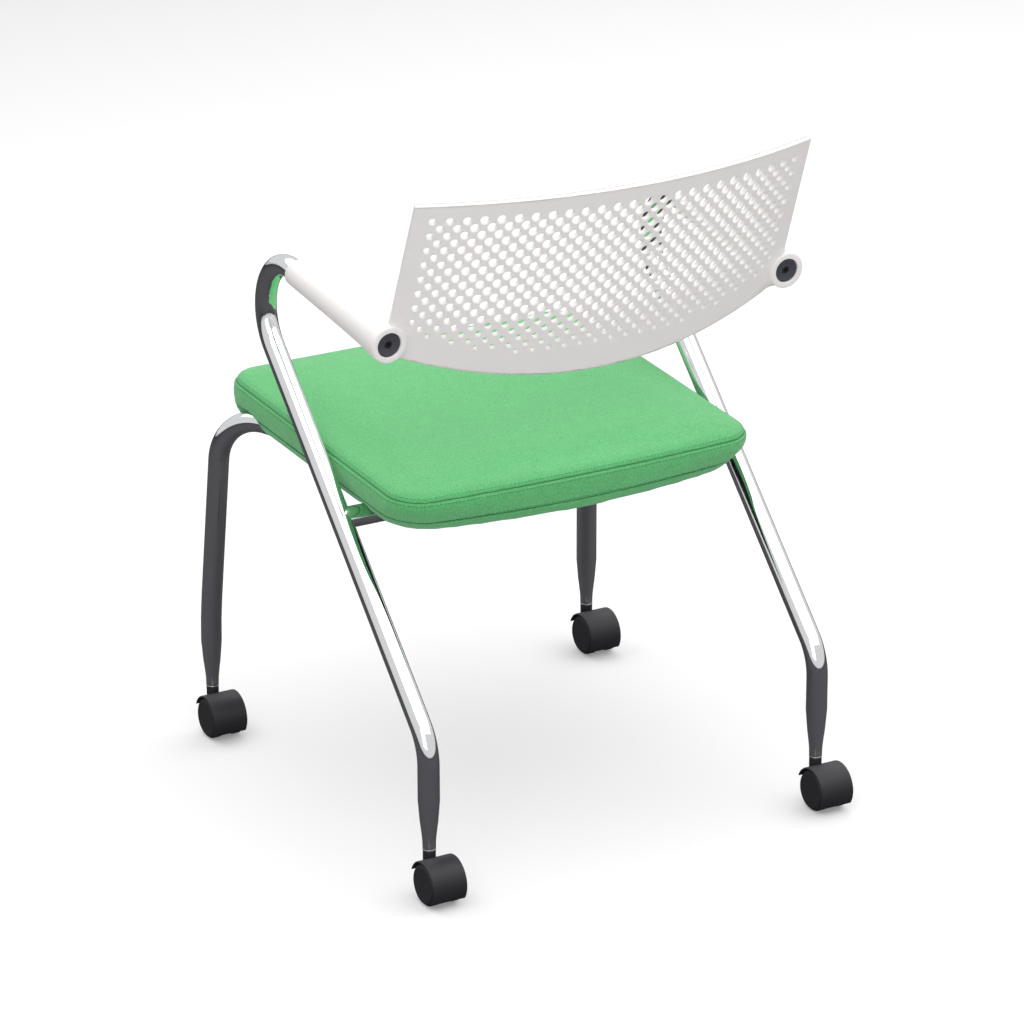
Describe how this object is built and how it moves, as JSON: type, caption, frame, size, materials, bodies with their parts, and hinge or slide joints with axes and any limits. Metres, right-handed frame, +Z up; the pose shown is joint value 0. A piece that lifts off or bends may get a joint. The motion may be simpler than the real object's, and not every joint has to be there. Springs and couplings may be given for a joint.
{
  "type": "nesting chair",
  "caption": "Nesting chair with bent tube side frames on twin wheel castors, a padded seat that tips up, and a perforated back shell moulded in one with its arm sleeves.",
  "frame": {"origin": "on the floor, under the middle of the chair's bounding box", "axes": "+Z up, the sitter faces -Y, the sitter's left side is +X"},
  "size_m": [0.5632, 0.6002, 0.8024],
  "materials": {
    "chromed_tube": "polished chrome on bent steel tube",
    "white_moulding": "off-white moulded plastic with a fine satin grain",
    "green_fabric": "green woven wool-look upholstery with a double stitched seam",
    "black_nylon": "black satin moulded nylon",
    "black_rubber": "black rubber",
    "steel_fastener": "zinc plated steel",
    "castor_wheel": "black castor wheel with a soft tread"
  },
  "bodies": {
    "frame": {"side_frame_left": "chromed_tube", "side_frame_right": "chromed_tube", "front_leg_left": "chromed_tube", "front_leg_right": "chromed_tube", "cross_tube": "chromed_tube", "back_shell": "white_moulding", "sleeve_end_cap_left": "black_nylon", "sleeve_end_cap_right": "black_nylon", "arm_tube_plug_left": "black_nylon", "arm_tube_plug_right": "black_nylon", "sleeve_screw_left": "steel_fastener", "sleeve_screw_right": "steel_fastener", "leg_bush_front_left": "steel_fastener", "leg_bush_front_right": "steel_fastener", "leg_bush_rear_left": "steel_fastener", "leg_bush_rear_right": "steel_fastener", "castor_stem_front_left": "steel_fastener", "castor_stem_front_right": "steel_fastener", "castor_stem_rear_left": "steel_fastener", "castor_stem_rear_right": "steel_fastener"},
    "seat": {"seat_cushion": "green_fabric", "seat_pan": "black_nylon", "hinge_saddle_left": "black_nylon", "hinge_saddle_right": "black_nylon", "hinge_cap_left": "black_nylon", "hinge_cap_right": "black_nylon", "hinge_screw_left_front": "steel_fastener", "hinge_screw_left_rear": "steel_fastener", "hinge_screw_right_front": "steel_fastener", "hinge_screw_right_rear": "steel_fastener", "seat_buffer_left": "black_rubber", "seat_buffer_right": "black_rubber"},
    "front_left_castor": {"castor_housing_front_left": "black_nylon", "castor_axle_front_left": "steel_fastener"},
    "front_left_outer_wheel": {"castor_wheel_outer_front_left": "castor_wheel"},
    "front_left_inner_wheel": {"castor_wheel_inner_front_left": "castor_wheel"},
    "rear_left_castor": {"castor_housing_rear_left": "black_nylon", "castor_axle_rear_left": "steel_fastener"},
    "rear_left_outer_wheel": {"castor_wheel_outer_rear_left": "castor_wheel"},
    "rear_left_inner_wheel": {"castor_wheel_inner_rear_left": "castor_wheel"},
    "front_right_castor": {"castor_housing_front_right": "black_nylon", "castor_axle_front_right": "steel_fastener"},
    "front_right_outer_wheel": {"castor_wheel_outer_front_right": "castor_wheel"},
    "front_right_inner_wheel": {"castor_wheel_inner_front_right": "castor_wheel"},
    "rear_right_castor": {"castor_housing_rear_right": "black_nylon", "castor_axle_rear_right": "steel_fastener"},
    "rear_right_outer_wheel": {"castor_wheel_outer_rear_right": "castor_wheel"},
    "rear_right_inner_wheel": {"castor_wheel_inner_rear_right": "castor_wheel"}
  },
  "joints": [
    {"name": "seat_tip", "type": "hinge", "parent": "frame", "child": "seat", "pos_m": [0, 0.04648, 0.38419], "axis": [-1, 0, 0], "range_deg": [0, 78]},
    {"name": "front_left_castor_swivel", "type": "hinge", "parent": "frame", "child": "front_left_castor", "pos_m": [0.2606, -0.28802, 0.054], "axis": [0, 0, 1], "continuous": true},
    {"name": "front_left_outer_wheel_roll", "type": "hinge", "parent": "front_left_castor", "child": "front_left_outer_wheel", "pos_m": [0.2606, -0.26602, 0.025], "axis": [1, 0, 0], "continuous": true},
    {"name": "front_left_inner_wheel_roll", "type": "hinge", "parent": "front_left_castor", "child": "front_left_inner_wheel", "pos_m": [0.2606, -0.26602, 0.025], "axis": [1, 0, 0], "continuous": true},
    {"name": "rear_left_castor_swivel", "type": "hinge", "parent": "frame", "child": "rear_left_castor", "pos_m": [0.2564, 0.24938, 0.054], "axis": [0, 0, 1], "continuous": true},
    {"name": "rear_left_outer_wheel_roll", "type": "hinge", "parent": "rear_left_castor", "child": "rear_left_outer_wheel", "pos_m": [0.2564, 0.27138, 0.025], "axis": [1, 0, 0], "continuous": true},
    {"name": "rear_left_inner_wheel_roll", "type": "hinge", "parent": "rear_left_castor", "child": "rear_left_inner_wheel", "pos_m": [0.2564, 0.27138, 0.025], "axis": [1, 0, 0], "continuous": true},
    {"name": "front_right_castor_swivel", "type": "hinge", "parent": "frame", "child": "front_right_castor", "pos_m": [-0.2606, -0.28802, 0.054], "axis": [0, 0, 1], "continuous": true},
    {"name": "front_right_outer_wheel_roll", "type": "hinge", "parent": "front_right_castor", "child": "front_right_outer_wheel", "pos_m": [-0.2606, -0.26602, 0.025], "axis": [1, 0, 0], "continuous": true},
    {"name": "front_right_inner_wheel_roll", "type": "hinge", "parent": "front_right_castor", "child": "front_right_inner_wheel", "pos_m": [-0.2606, -0.26602, 0.025], "axis": [1, 0, 0], "continuous": true},
    {"name": "rear_right_castor_swivel", "type": "hinge", "parent": "frame", "child": "rear_right_castor", "pos_m": [-0.2564, 0.24938, 0.054], "axis": [0, 0, 1], "continuous": true},
    {"name": "rear_right_outer_wheel_roll", "type": "hinge", "parent": "rear_right_castor", "child": "rear_right_outer_wheel", "pos_m": [-0.2564, 0.27138, 0.025], "axis": [1, 0, 0], "continuous": true},
    {"name": "rear_right_inner_wheel_roll", "type": "hinge", "parent": "rear_right_castor", "child": "rear_right_inner_wheel", "pos_m": [-0.2564, 0.27138, 0.025], "axis": [1, 0, 0], "continuous": true}
  ]
}
